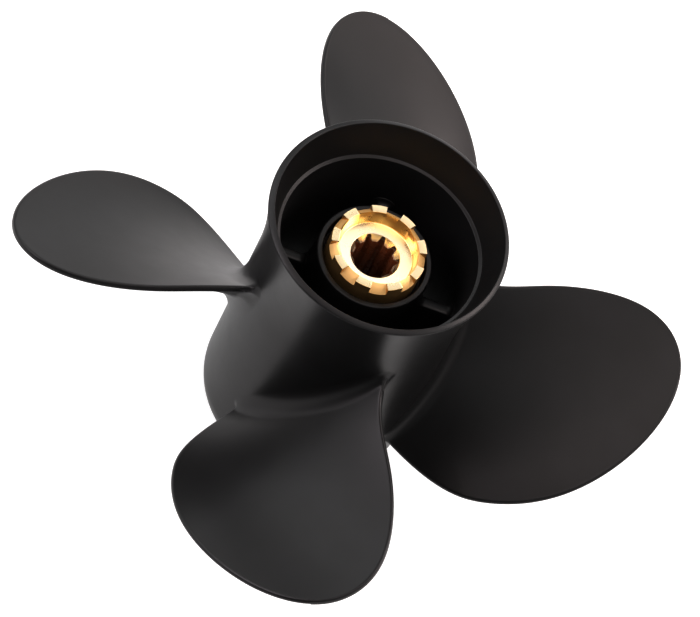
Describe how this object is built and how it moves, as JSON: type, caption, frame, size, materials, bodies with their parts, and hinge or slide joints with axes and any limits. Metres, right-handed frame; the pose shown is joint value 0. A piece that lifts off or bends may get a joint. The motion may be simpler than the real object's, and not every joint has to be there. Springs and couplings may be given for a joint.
{
  "type": "outboard motor propeller",
  "caption": "Through-hub exhaust boat propeller: skewed blades round a flared barrel, with an inner hub on ribs, a rubber bush and a splined brass sleeve.",
  "frame": {"origin": "centre of the barrel's front end face, on the shaft axis", "axes": "+Z along the shaft axis, from the gearcase end to the open exhaust rim; +X and +Y across the disc, with blade_1 centred near +X"},
  "size_m": [0.2514, 0.2514, 0.128],
  "materials": {
    "painted_casting": "satin black paint on a cast surface",
    "bush_rubber": "matt moulded black rubber",
    "turned_brass": "bright turned and broached brass"
  },
  "bodies": {
    "root": {"outer_barrel": "painted_casting", "blade_1": "painted_casting", "blade_2": "painted_casting", "blade_3": "painted_casting", "blade_4": "painted_casting", "rib_1": "painted_casting", "rib_2": "painted_casting", "rib_3": "painted_casting", "rib_4": "painted_casting", "inner_hub": "painted_casting", "rubber_bush": "bush_rubber", "spline_sleeve": "turned_brass"}
  },
  "joints": []
}
